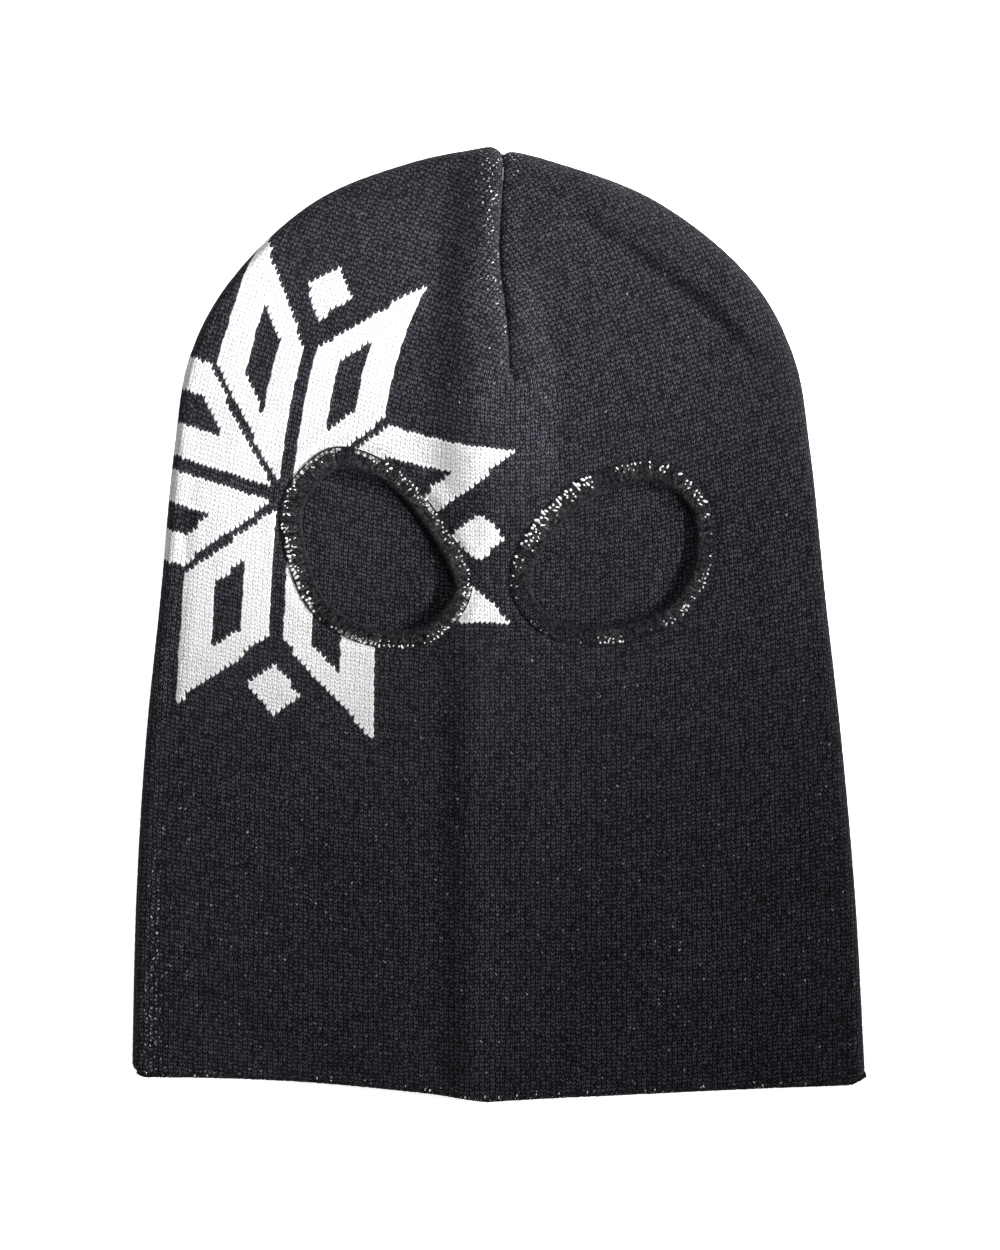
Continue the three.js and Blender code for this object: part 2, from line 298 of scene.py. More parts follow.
def dart_relief(plan):
    """The dart's groove, widest at its foot and on its right, a dimple at its foot and a lip."""
    across, along = dart_place(plan)
    width = np.where(across > 0, 2.1, 1.4) + 0.6 * bell(along - 0.06, 0.14)
    groove = -2.6 * np.exp(-np.abs(across) / width) * smoothstep(-0.03, 0.06, along)
    groove -= 1.7 * bell(across - 1.1, 1.6) * bell(along + 0.005, 0.032)
    return groove + 0.3 * bell(across + 5, 3.5) * smoothstep(-0.02, 0.25, along)


def fold_lines(y):
    """Across the crown fold: where its left flank starts, its crest and where its right ends."""
    heights = [70, 100, 130, 145, 160]
    left_foot = np.interp(y, heights, [-28, -26, -24, -21, -19])
    crest = np.interp(y, heights, [-8, -9, -8, -4, -1])
    right_foot = np.interp(y, [60, 90, 115, 130], [21, 21.5, 14, 4])
    return left_foot, crest, right_foot


def crown_fold(plan):
    """The broad fold that the dart's seam props up: steep on its left, easing down its right."""
    x, y = plan[:, 0], plan[:, 1]
    left_foot, crest, right_foot = fold_lines(y)
    rise = 4.6
    fall = np.interp(y, [90, 130], [6.6, 1.8])
    up = smoothstep(left_foot, crest, x)
    down = np.clip((x - crest) / (right_foot - crest), 0, 1)
    down = 0.25 * down + 0.75 * down ** 2
    back = 0.35 * smoothstep(right_foot, right_foot + 6, x) + 0.65 * smoothstep(20, 75, x)
    level = rise * up - fall * down + (fall - rise) * back
    return level * smoothstep(18, 60, y) * (1 - 0.3 * smoothstep(145, 170, y))


def stretch_and_painted_highlight(plan):
    """1 on the crown fold's right flank, which faces the lights, 0 away from it: the knit pulled open
    there shows more backing yarn, and a painted highlight lightens it.
    """
    x, y = plan[:, 0], plan[:, 1]
    _, crest, right_foot = fold_lines(y)
    over = smoothstep(crest - 3, crest + 5, x) * smoothstep(right_foot + 1, right_foot - 2, x)
    return over * smoothstep(30, 62, y) * smoothstep(150, 115, y)


def under_overlock(plan):
    """1 where the dark looper threads hide the knit under an opening's band, 0 outside it."""
    nearest = np.minimum(EYES["left"].outside(plan), EYES["right"].outside(plan))
    return smoothstep(-0.9, -2.6, nearest)


def rim_fold(plan):
    """A ridge that follows the right shoulder, with a crease along its inner side."""
    start, way = np.array([30.0, 144.0]), np.array([0.813, -0.583])
    gap = plan - start
    run = gap @ way
    beyond = gap @ np.array([0.583, 0.813]) + 0.0035 * np.maximum(run - 40, 0) ** 2
    fade = smoothstep(-14, 8, run) * smoothstep(92, 66, run)
    ridge = 2.5 * smoothstep(-1.8, 4.2, beyond) * smoothstep(26, 6, beyond)
    return (ridge - 0.9 * bell(beyond + 1, 2.9)) * fade


def centre_crease(plan):
    """The fold line down the middle of the neck: steep on its left, with a narrow crest."""
    x, y = plan[:, 0], plan[:, 1]
    rise = 3.4 * smoothstep(-23, -9, x)
    fall = 1.8 * smoothstep(-10, 1, x) + 1.6 * np.clip(x / 22, 0, 1)
    return (rise - fall) * smoothstep(8, -30, y)


def eye_relief(plan):
    """The cloth round each opening sinks, least at its lower right."""
    total = np.zeros(len(plan))
    sinks = []
    for name, eye in EYES.items():
        d = eye.outside(plan)
        gap = plan - eye.outer.mean(0)
        bearing = np.arctan2(gap[:, 1], gap[:, 0])
        lift = 1.9 if name == "left" else 0.4
        sink = 2.6 - lift * bell(np.angle(np.exp(1j * (bearing - EYE_HIGH_SIDE))), 0.6)
        sinks.append(sink * smoothstep(24, -1, d))
        pull = 0.5 if name == "left" else 0.5 + 1.1 * bell(bearing - PULLED_SIDE, 0.55)
        total += -pull * bell(d - 0.6, 1.0) + 0.5 * bell(d - 4, 2.4)
        total += 0.3 * smoothstep(-0.5, -2.5, d)
    return total - np.maximum(*sinks)


def front_relief(plan, s):
    """Everything that lifts or sinks the front's surface, s millimetres in from the side seam."""
    slow = 0.3 * seeded_noise(plan, 70, 3) + 0.16 * seeded_noise(plan, 24, 5)
    quick = 0.06 * seeded_noise(plan, 9, 8)
    side = np.where(plan[:, 0] < 0, 1.3, 0.4)
    seam_step = -side * bell(s - FOLD_ARC - 3.4, 2.4) * smoothstep(70, 20, plan[:, 1])
    folds = crown_fold(plan) + rim_fold(plan) + centre_crease(plan)
    total = slow + quick + seam_step + folds + eye_relief(plan)
    return total * smoothstep(1.0, 9.0, s) + dart_relief(plan) * smoothstep(-1.5, 5, s)


def back_relief(plan, s):
    """The back is level apart from a slight swell and a wrinkle seen through the left opening."""
    swell = 0.15 * seeded_noise(plan, 60, 21) + 0.06 * seeded_noise(plan, 20, 22)
    rumple = 1.5 * bell(plan[:, 0] + 27, 3.5) * bell(plan[:, 1] - 10, 7)
    return np.maximum(swell + rumple, 0) * smoothstep(2, 12, s)


def front_height(plan):
    """Height of the front panel's outer surface at plan points well inside the folds."""
    _, from_edge = nearest_on(OUTLINE, plan)
    top = SEAM_HEIGHT + SEAM_GAP + TUCK_DROP + FOLD_RADIUS
    return top + front_loft(plan, from_edge) + front_relief(plan, from_edge + EXPAND)


# ---- stitch coordinates ----
def stitch_place(flat):
    """Wale and course numbers: the closed dart opened out again gives the flat cut piece."""
    gap = flat - DART_FOOT
    reach = np.linalg.norm(gap, axis=1)
    across, along = dart_place(flat)
    side = np.where(np.where(along > 0, across, gap[:, 0]) < 0, -1, 1)
    turn = np.arctan2(side * gap[:, 0], gap[:, 1])
    opened = DART_TURN + turn * (math.pi - DART_TURN) / math.pi
    p = side * reach * np.sin(opened)
    q = reach * np.cos(opened)
    return np.column_stack([p / WALE, q / COURSE])


def glint_density(plan, s):
    """How much of the white backing yarn shows through between the stitches."""
    x, y = plan[:, 0], plan[:, 1]
    across, along = dart_place(plan)
    ridge = 0.4 * bell(across + 3.2, 3.0) * smoothstep(-0.1, 0.2, along)
    ridge += 0.5 * bell(across + 6.5, 4.0) * smoothstep(0.62, 0.82, along)
    lip = 0.9 * bell(across - 4, 2.6) * smoothstep(0.82, 0.95, along)
    columns = 0.85 * bell(s - 10.2, 1.3) + 0.55 * bell(s - 7.8, 1.1) + 0.4 * bell(s - 13, 1.2)
    columns *= np.where(x < 0, 1.0, 0.0) * smoothstep(-30, -150, y)
    neck = 0.12 * smoothstep(3.5, 1.0, y - neck_y(x))
    scatter = 0.004 + 0.05 * smoothstep(20, -120, y)
    return np.clip(ridge + lip + columns + neck + scatter, 0, 1)


# ---- panel meshes ----
SHARP_ANGLE = math.radians(60)  # sharper edges are shaded as edges
SLIT_HALF = 0.02  # half the width of the dart's slit at its foot
SLIT_WIDENING = 0.05  # added to that by the tip
SLIT_EXTRA = 0.8  # how far it runs on below the seam
FINE_BY_DART = 7
FINE_BELOW_DART = -0.08  # as a share of the seam
FINE_BY_EYE = 4
CLEARANCE = 0.45  # how near a point may be to the panel's edge, in steps


def lattice(low, high, step):
    """Staggered rows of points over a box."""
    rows = np.arange(low[1], high[1], step * math.sqrt(3) / 2)
    points = []
    for k, y in enumerate(rows):
        xs = np.arange(low[0] + (k % 2) * step / 2, high[0], step)
        points.append(np.column_stack([xs, np.full(len(xs), y)]))
    return np.vstack(points)


def neck_boundary(step):
    """The unrolled lower edge, from the right corner to the left."""
    xs = np.arange(UNROLLED[0, 0] + step, UNROLLED[-1, 0] - step / 2, step)[::-1]
    return np.column_stack([xs, neck_y(xs)])


def unrolled_boundary(step):
    """The unrolled panel's boundary, with the dart's slit, as one closed polygon."""
    ys = np.arange(UNROLLED[:, 1].max() - step, DART_FOOT[1], -1.0)
    xs, along = dart_seam(ys)
    half = SLIT_HALF + SLIT_WIDENING * np.clip(along, 0, 1)
    down = np.column_stack([xs - half, ys])
    up = np.column_stack([xs + half, ys])[::-1]
    left = respaced(UNROLLED[UNROLLED[:, 0] < xs[0] - 0.5], step)
    right = respaced(UNROLLED[UNROLLED[:, 0] > xs[0] + 0.5], step)
    foot = DART_FOOT[None] - [[0, SLIT_EXTRA]]
    left[0, 1] = CORNER_Y["left"]
    right[-1, 1] = CORNER_Y["right"]
    return np.vstack([left, down, foot, up, right, neck_boundary(step)])


def inner_points(rings, step, fine_step):
    """Points inside the unrolled panel, closer together beside the dart and the eye openings."""
    boundary, *holes = rings
    low, high = boundary.min(0), boundary.max(0)
    coarse = lattice(low, high, step)
    fine = lattice(low, high, fine_step)

    def wants_fine(points):
        across, along = dart_place(points)
        near = (np.abs(across) < FINE_BY_DART) & (along > FINE_BELOW_DART)
        for eye in EYES.values() if holes else ():
            near |= np.abs(eye.outside(points)) < FINE_BY_EYE
        return near

    points = np.vstack([coarse[~wants_fine(coarse)], fine[wants_fine(fine)]])
    points = points[within_panel(rings, points)]
    closed = [np.vstack([ring, ring[:1]]) for ring in rings]
    clear = np.min([nearest_on(ring, points)[1] for ring in closed], axis=0)
    return points[clear > CLEARANCE * fine_step]


def within_panel(rings, points):
    """Which points lie inside the first ring and outside all the others."""
    keep = inside(rings[0], points)
    for hole in rings[1:]:
        keep &= ~inside(hole, points)
    return keep


def triangulated(rings, step, fine_step):
    """Triangles over the unrolled panel. The first ring bounds it, the others are holes."""
    ring_points = np.vstack(rings)
    edges, start = [], 0
    for ring in rings:
        here = range(start, start + len(ring))
        edges += zip(here, [*here[1:], start])
        start += len(ring)
    everything = np.vstack([ring_points, inner_points(rings, step, fine_step)])
    out = delaunay_2d_cdt([tuple(p) for p in everything], edges, [], 0, 1e-7)
    verts = np.array([tuple(v) for v in out[0]])
    tris = np.array(out[2])
    doubtful = (tris < len(ring_points)).all(1)
    good = np.ones(len(tris), bool)
    good[doubtful] = within_panel(rings, verts[tris].mean(1)[doubtful])
    return verts, tris[good]


def boundary_edges(tris):
    """Directed edges used by one triangle only."""
    edges = np.vstack([tris[:, [0, 1]], tris[:, [1, 2]], tris[:, [2, 0]]])
    known = set(map(tuple, edges))
    return np.array([(a, b) for a, b in edges if (b, a) not in known])


def new_object(name, verts_mm, faces, materials, slots, smooth_angle=None):
    """A smooth mesh object in the scene; slots gives each face's material."""
    mesh = bpy.data.meshes.new(name)
    mesh.from_pydata((verts_mm * MM).tolist(), [], faces)
    mesh.validate()
    for material in materials:
        mesh.materials.append(material)
    mesh.polygons.foreach_set("material_index", np.asarray(slots, np.int32))
    mesh.polygons.foreach_set("use_smooth", np.ones(len(mesh.polygons), bool))
    if smooth_angle:
        mesh.set_sharp_from_angle(angle=smooth_angle)
    obj = bpy.data.objects.new(name, mesh)
    bpy.context.scene.collection.objects.link(obj)
    return obj


def point_attribute(obj, name, values):
    """Stores a number or a vector at each vertex, for the materials to read."""
    kind, field = ("FLOAT", "value") if values.ndim == 1 else ("FLOAT_VECTOR", "vector")
    layer = obj.data.attributes.new(name, kind, "POINT")
    layer.data.foreach_set(field, np.ascontiguousarray(values, np.float32).ravel())


def rounded_ends(plan, s):
    """Rounds the two lower corners and notches the tip where the dart's seam runs out."""
    radius = 4.0  # of the corners
    up = plan[:, 1] - neck_y(plan[:, 0])
    pull = radius - np.sqrt(np.maximum(radius ** 2 - np.clip(radius - up, 0, radius) ** 2, 0))
    across, along = dart_place(plan)
    notch = 2.4 * np.exp(-np.abs(across) / 1.5) * smoothstep(11, 1, s) * (along > 0.8)
    x = plan[:, 0] - np.sign(plan[:, 0]) * pull * smoothstep(12, 2, s)
    return np.column_stack([x, plan[:, 1] - notch])


def laid_surface(flat, face):
    """The panel's outer surface, its plan position, its normals and its way in from the seam."""
    plan, z, normal, s = fold_surface(flat, face)
    relief = (front_relief if face == "front" else back_relief)(plan, s)
    return np.column_stack([rounded_ends(plan, s), z + relief]), plan, normal, s


def cloth_thickness(s):
    """The knit is squeezed thin where it is sewn into the side seam."""
    return SEAM_FABRIC + (FABRIC - SEAM_FABRIC) * smoothstep(-TUCK_ARC, 2.5, s)


def panel(name, face, step, fine_step, materials):
    """One knitted panel: an outer and an inner surface joined round every edge."""
    holes = [eye.cut for eye in EYES.values()] if face == "front" else []
    flat, tris = triangulated([unrolled_boundary(step), *holes], step, fine_step)
    outer, plan, normal, s = laid_surface(flat, face)
    inner = outer - normal * cloth_thickness(s)[:, None]
    count = len(outer)
    rim = boundary_edges(tris)
    on_rim = np.unique(rim)
    verts = np.vstack([outer, inner, ((outer + inner) / 2)[on_rim]])
    up = tris if face == "front" else tris[:, ::-1]
    down = up[:, ::-1] + count
    a, b = (rim if face == "front" else rim[:, ::-1]).T
    a_mid, b_mid = (2 * count + np.searchsorted(on_rim, end) for end in (a, b))
    halves = np.column_stack([b, a, a_mid, b_mid, b_mid, a_mid, a + count, b + count])
    rim_faces = halves.reshape(-1, 4).tolist()
    faces = [*up.tolist(), *down.tolist(), *rim_faces]
    slots = [0] * len(up) + [1] * (len(down) + len(rim_faces))
    obj = new_object(name, verts, faces, materials, slots, SHARP_ANGLE)
    nothing = np.zeros(len(flat))
    fields = {
        "stitch": np.column_stack([stitch_place(flat), nothing]),
        "glint": glint_density(plan, s),
        "stretch_and_painted_highlight": stretch_and_painted_highlight(flat) if face == "front" else nothing,
        "hidden": under_overlock(flat) if face == "front" else nothing,
    }
    for field, values in fields.items():
        point_attribute(obj, field, np.concatenate([values, values, values[on_rim]]))
    return obj


# ---- strands ----
class Strands:
    """Gathers round strands of yarn into one mesh."""

    SIDES = 6

    def __init__(self):
        self.verts, self.faces, self.slots, self.count = [], [], [], 0

    def add(self, path, radius, slot=0):
        """A tube along a path, kept above the floor."""
        n = len(path)
        tangent = np.gradient(path, axis=0)
        tangent /= np.maximum(np.linalg.norm(tangent, axis=1), 1e-9)[:, None]
        across = np.empty_like(path)
        side = np.cross(tangent[0], (0.31, 0.22, 0.92))  # along no strand in particular
        for i, t in enumerate(tangent):
            side = side - t * (side @ t)
            side /= np.linalg.norm(side)
            across[i] = side
        third = np.cross(tangent, across)
        sides = self.SIDES
        turn = np.arange(sides)[:, None] * 2 * math.pi / sides
        ring = across[:, None] * np.cos(turn) + third[:, None] * np.sin(turn)
        size = np.broadcast_to(radius, n)[:, None, None]
        tube = (path[:, None] + ring * size).reshape(-1, 3)
        tube[:, 2] = np.maximum(tube[:, 2], 0)
        self.verts.append(tube)
        i = np.repeat(np.arange(n - 1) * sides, sides)
        j = np.tile(np.arange(sides), n - 1)
        k = (j + 1) % sides
        quads = np.column_stack([i + j, i + k, i + k + sides, i + j + sides]) + self.count
        first = np.arange(sides) + self.count
        last = first + (n - 1) * sides
        self.faces += [*quads.tolist(), first[::-1].tolist(), last.tolist()]
        self.slots += [slot] * (len(quads) + 2)
        self.count += n * sides

    def speck(self, middle, way, length, width, slot):
        """A short plump bit of yarn."""
        t = np.linspace(-1, 1, 5)[:, None]
        path = middle + way * t * length / 2
        self.add(path, width / 2 * np.sqrt(np.maximum(1 - 0.85 * t.ravel() ** 2, 0.05)), slot)

    def build(self, name, materials):
        return new_object(name, np.vstack(self.verts), self.faces, materials, self.slots)


def wander(n, amount, seed, every=4):
    """Smooth seeded jitter for n points in three directions."""
    rng = np.random.default_rng(seed)
    knots = max(3, n // every + 2)
    return sampled(rng.normal(0, amount, (knots, 3)), np.linspace(0, knots - 1, n))


UP = np.array([0.0, 0.0, 1.0])
THREAD = 0.24
THREAD_PITCH = 2.6
THREAD_SINK = 0.25  # how far the wound threads bite into a bead
CORE_SINK = 0.45


def seam_bead(name, centre, across, seed, radius):
    """An overlocked seam allowance: a soft core with two threads wound round it."""
    strands = Strands()
    line = respaced(centre, 0.22)
    strands.add(respaced(centre, 1.5), radius - CORE_SINK)
    side = sampled(across, np.linspace(0, len(centre) - 1, len(line)))
    wound = radius - THREAD_SINK
    for k in range(2):
        turn = 2 * math.pi * run_along(line) / THREAD_PITCH + k * math.pi
        path = line + side * (wound * np.cos(turn))[:, None]
        path = path + UP * (wound * np.sin(turn))[:, None]
        strands.add(path + wander(len(path), 0.06, seed + k), THREAD)
    return strands.build(name, [seam_yarn])


# ---- eye edgings ----
STITCH_PITCH = 2.4
POINTS_PER_STITCH = 12
SPECK_PITCH = 1.7
LOOPER = 0.23  # radius of one filament bundle of the overlock thread
FILAMENTS = 4
FILAMENT_GAP = 0.34
CORD = 0.27  # radius of the threads that run along the cut edge
NEEDLE_THREAD = 0.26
LOOSE_FIBRE = 0.11
WHITE, FIBRE = 1, 2  # material slots of an edging, after its black yarn


class Band:
    """Maps places on an opening's overlocked band to points in space."""

    def __init__(self, eye):
        self.eye = eye
        self.count = len(eye.outer)
        self.length = np.linalg.norm(np.diff(eye.closed, axis=0), axis=1).sum()
        self.edge_height = front_height(eye.cut) - FABRIC / 2
        self.needle_height = front_height(eye.outer) - FABRIC / 2

    def lookup(self, values, at):
        """Values given round the ring, interpolated at distances in mm."""
        ring = np.arange(self.count + 1) * self.length / self.count
        at = np.mod(at, self.length)
        closed = np.concatenate([values, values[:1]])
        return np.interp(at, ring, closed) if values.ndim == 1 else sampled(closed, at, ring)

    def place(self, at, across, lift):
        """across runs 0 to 1 over the top to the cut edge, to 2 round it, and to 3 underneath."""
        at, across, lift = np.broadcast_arrays(at, across, lift)
        outer = self.lookup(self.eye.outer, at)
        inward = self.lookup(self.eye.inward, at)
        width = self.lookup(self.eye.band, at)
        reach = np.where(across < 1, across, np.clip(3 - across, 0, 1))
        half = FABRIC / 2 + lift
        turn = math.pi * np.clip(across - 1, 0, 1)
        plan = outer + inward * (width * reach + half * np.sin(turn))[:, None]
        low = self.lookup(self.needle_height, at)
        high = self.lookup(self.edge_height, at)
        middle = low + (high - low) * reach
        return np.column_stack([plan, middle + half * np.cos(turn)])


def triangle_wave(t):
    """0 at whole numbers and 1 halfway between them."""
    return 1 - np.abs(2 * (t - np.floor(t)) - 1)


def looper_threads(strands, band, t, at, seed):
    """Filaments that zigzag over the band and back underneath; t counts the stitches."""
    for k in range(FILAMENTS):
        shift = (k - (FILAMENTS - 1) / 2) * FILAMENT_GAP
        jitter = wander(len(t), 0.16, seed + k, 3)
        reach = 1.42 * triangle_wave(t) ** 0.3 + jitter[:, 0] * 0.3
        lift = 0.25 + 0.12 * (k % 2)
        path = band.place(at + shift + jitter[:, 1], np.maximum(reach, 0.02), lift)
        strands.add(path + jitter * 0.35, LOOPER)
        low_reach = 3 - 1.5 * triangle_wave(t + 0.5) ** 0.8
        path = band.place(at + shift + jitter[:, 2], np.minimum(low_reach, 2.98), 0.22)
        strands.add(path + jitter * 0.3, LOOPER)


def edge_threads(strands, band, t, at):
    """Three threads that sway along the cut edge, and the needle's along the outer edge."""
    for k in range(3):
        turn = 2 * math.pi * (t + k / 3)
        path = band.place(at, 1.5 + 0.45 * np.sin(turn), 0.35 + 0.25 * np.cos(turn))
        strands.add(path, CORD)
    dash = 0.10 + 0.22 * np.sin(math.pi * np.mod(t, 1))
    strands.add(band.place(at, 0.03, dash), NEEDLE_THREAD)


def caught_speck(strands, band, rng, spot, row, size):
    """One short bit of white yarn; rows further into the band are smaller."""
    shrink = 1 + 0.3 * row
    across = 0.06 + 0.3 * row + rng.uniform(-0.08, 0.12)
    length = (0.8 + 1.3 * rng.random() ** 2) * size / shrink
    tilt = rng.uniform(-0.6, 0.6)
    slide = rng.uniform(-0.8, 0.8) if row else 0
    at = np.array([spot - tilt, spot + tilt]) + slide
    ends = band.place(at, np.array([across, across + 0.18]), 0.5)
    way = ends[1] - ends[0]
    way /= np.linalg.norm(way)
    width = rng.uniform(0.6, 1.05) * size / shrink
    strands.speck(ends.mean(0), way, length, width, WHITE)


def loose_fibre(strands, band, rng, spot):
    """A fine fibre that curls across the band."""
    start = spot + rng.uniform(-1.2, 1.2)
    curl = np.cumsum(rng.normal(0, 0.22, 7))
    fibre = band.place(start + curl, np.linspace(0.1, 1.1, 7), 0.42)
    strands.add(fibre + rng.normal(0, 0.1, (7, 3)), LOOSE_FIBRE, FIBRE)


def caught_yarn(strands, band, patches, seed):
    """The white backing yarn that the overlock catches, in patches round the opening."""
    rng = np.random.default_rng(seed)
    centre = band.eye.outer.mean(0)
    count = round(band.length / SPECK_PITCH)
    for k in range(count):
        spot = (k + rng.uniform(-0.25, 0.25)) * band.length / count
        here = band.lookup(band.eye.outer, np.array([spot]))[0]
        bearing = math.degrees(math.atan2(*(here - centre)[::-1]))
        for middle, spread, chance, size in patches:
            gap = (bearing - middle + 180) % 360 - 180
            if rng.random() > chance * math.exp(-(gap / spread) ** 2):
                continue
            for row in range(1 + round(rng.uniform(0, 3.2) * (size - 0.35))):
                caught_speck(strands, band, rng, spot, row, size)
                for _ in range(2):
                    loose_fibre(strands, band, rng, spot)


def eye_edging(name, side, patches, seed):
    """Overlock round an opening. patches lists where it catches the white backing yarn."""
    band = Band(EYES[side])
    stitches = round(band.length / STITCH_PITCH)
    t = np.linspace(0, stitches, stitches * POINTS_PER_STITCH + 1)
    at = t * band.length / stitches
    strands = Strands()
    looper_threads(strands, band, t, at, seed)
    edge_threads(strands, band, t, at)
    caught_yarn(strands, band, patches, seed)
    return strands.build(name, edging_yarns)


# ---- neck edging ----
LOOP_YARN = 0.26
LOOP_STEP = 0.18  # between the points of a loop
LOOP_PITCH = 1.8
LOOP_PHASES = (0, 2.2, 4.1)
NECK_SPECKS = {"front": 24, "back": 12}


def neck_edging(name, face, seed):
    """Loops of yarn that finish the lower edge of one panel."""
    outer, _, normal, s = laid_surface(neck_boundary(1.0), face)
    thickness = cloth_thickness(s)
    centre = respaced(outer - normal * thickness[:, None] / 2, LOOP_STEP)
    at = np.linspace(0, len(outer) - 1, len(centre))
    turned = sampled(normal, at)
    half = np.interp(at, np.arange(len(outer)), thickness / 2)
    down = np.array([0.0, -1.0, 0.0])
    strands = Strands()
    for k, phase in enumerate(LOOP_PHASES):
        turn = 2 * math.pi * (np.arange(len(centre)) * LOOP_STEP) / LOOP_PITCH + phase
        path = centre + turned * ((half + 0.14) * np.cos(turn))[:, None]
        path = path + down * (0.3 + 0.85 * np.sin(turn))[:, None]
        strands.add(path + wander(len(centre), 0.07, seed + k), LOOP_YARN)
    rng = np.random.default_rng(seed)
    for _ in range(NECK_SPECKS[face]):
        i = rng.integers(10, len(centre) - 10)
        spot = centre[i] + turned[i] * (half[i] + 0.3) - down * rng.uniform(-0.3, 0.8)
        way = np.array([rng.uniform(-0.4, 0.4), 1, 0])
        strands.speck(spot, way, rng.uniform(0.5, 1.1), rng.uniform(0.25, 0.45), WHITE)
    return strands.build(name, edging_yarns)


# ---- materials ----
def operation(name):
    """A method that applies one of the Math node's operations."""
    return lambda field, other=0.0: field.graph.math(name, field, other)


class Field:
    """A number that varies over a surface: a shader socket with arithmetic."""

    def __init__(self, graph, socket):
        self.graph, self.socket = graph, socket

    __add__ = operation("ADD")
    __sub__ = operation("SUBTRACT")
    __mul__ = operation("MULTIPLY")
    __pow__ = operation("POWER")
    __gt__ = operation("GREATER_THAN")
    __lt__ = operation("LESS_THAN")
    __abs__ = operation("ABSOLUTE")
    floor = operation("FLOOR")
    least = operation("MINIMUM")
    most = operation("MAXIMUM")

    def __rsub__(self, other):
        return self.graph.math("SUBTRACT", other, self)

    def ramp(self, low, high, to_low=0.0, to_high=1.0):
        """Maps low..high to to_low..to_high smoothly, held at both ends."""
        inputs = {0: self, 1: low, 2: high, 3: to_low, 4: to_high}
        return self.graph.field("ShaderNodeMapRange", inputs, interpolation_type="SMOOTHSTEP")


def principled(name, roughness, specular):
    """A new material and its shader."""
    material = bpy.data.materials.new(name)
    material.use_nodes = True
    bsdf = next(n for n in material.node_tree.nodes if n.type == "BSDF_PRINCIPLED")
    bsdf.inputs["Roughness"].default_value = roughness
    bsdf.inputs["Specular IOR Level"].default_value = specular
    return material, bsdf


class Graph:
    """One yarn material's nodes."""

    def __init__(self, name, roughness, sheen):
        self.material, self.bsdf = principled(name, roughness, 0.05)
        self.tree = self.material.node_tree
        self.bsdf.inputs["Sheen Weight"].default_value = sheen
        self.bsdf.inputs["Sheen Roughness"].default_value = 0.55

    def put(self, socket, value):
        """Links a field to a socket, or sets the socket to a plain value."""
        if isinstance(value, Field):
            self.tree.links.new(value.socket, socket)
        else:
            socket.default_value = value

    def node(self, kind, inputs=(), **settings):
        made = self.tree.nodes.new(kind)
        for key, value in settings.items():
            setattr(made, key, value)
        for key, value in dict(inputs).items():
            self.put(made.inputs[key], value)
        return made

    def field(self, kind, inputs=(), output=0, **settings):
        """One output of a new node."""
        return Field(self, self.node(kind, inputs, **settings).outputs[output])

    def math(self, operation, a, b):
        return self.field("ShaderNodeMath", {0: a, 1: b}, operation=operation)

    def attribute(self, name, output="Fac"):
        return self.field("ShaderNodeAttribute", output=output, attribute_name=name)

    def parts(self, vector):
        return [Field(self, out) for out in self.node("ShaderNodeSeparateXYZ", {0: vector}).outputs]

    def noise(self, vector, scale, detail, output="Fac"):
        inputs = {"Vector": vector, "Scale": scale, "Detail": detail}
        return self.field("ShaderNodeTexNoise", inputs, output)

    def random(self, x, y, z=0.0):
        """A random number per cell; z picks one of many independent ones."""
        cell = self.field("ShaderNodeCombineXYZ", {0: x, 1: y, 2: z})
        return self.field("ShaderNodeTexWhiteNoise", {"Vector": cell}, "Value", noise_dimensions="3D")

    def mix_colour(self, factor, a, b, blend="MIX"):
        inputs = {"Factor": factor, 6: a, 7: b}
        return self.field("ShaderNodeMix", inputs, 2, data_type="RGBA", blend_type=blend)

    def shaded(self, colour, shade):
        """A colour made lighter or darker by a number."""
        grey = self.field("ShaderNodeCombineColor", {0: shade, 1: shade, 2: shade})
        return self.mix_colour(1.0, colour, grey, "MULTIPLY")

    def finish(self, colour, height, distance):
        """Connects the colour, and a relief that stands distance metres high."""
        self.put(self.bsdf.inputs["Base Color"], colour)
        relief = {"Height": height, "Distance": distance}
        self.put(self.bsdf.inputs["Normal"], self.field("ShaderNodeBump", relief))
        return self.material


BLACK_YARN = (0.0114, 0.0110, 0.0139, 1)
WHITE_YARN = (0.57, 0.57, 0.565, 1)
GLINT_YARN = (0.48, 0.48, 0.48, 1)
KNIT_RELIEF = 0.0005  # metres from the gaps to the tops of the stitches
YARN_RELIEF = 0.0002
STRAY = 1.0  # how far the noise moves the stitches, in stitches

STAR_STRETCH = (1.62, 1.50)  # millimetres of the laid cloth per stitch, across and up
PETAL_WIDE = 33.0
PETAL_LONG = 46.0
STAR_LINE = 2.0  # half the black line between petals
CORE_INSET = 10.5
DIAMOND_AT = 67.0
DIAMOND_SIZE = 9.0
STAR_CENTRE = np.array([[-76.0, 45.0]])


def star_mask(graph, column, row, centre):
    """1 in the white petals and diamonds of an eight-pointed star, judged stitch by stitch."""
    u, v = stitch_place(centre)[0]
    a = abs((column - (u - 0.5)) * STAR_STRETCH[0])
    b = abs((row - (v - 0.5)) * STAR_STRETCH[1])
    high, low = a.most(b), a.least(b)
    gap = high - low

    def petal(inset):
        within = (low > STAR_LINE + inset) * (low < PETAL_WIDE - inset)
        return within * (gap > STAR_LINE + inset) * (gap < PETAL_LONG - inset)

    diamond = (abs(high - DIAMOND_AT) + low) < DIAMOND_SIZE
    return (petal(0.0) - petal(CORE_INSET)).most(diamond)


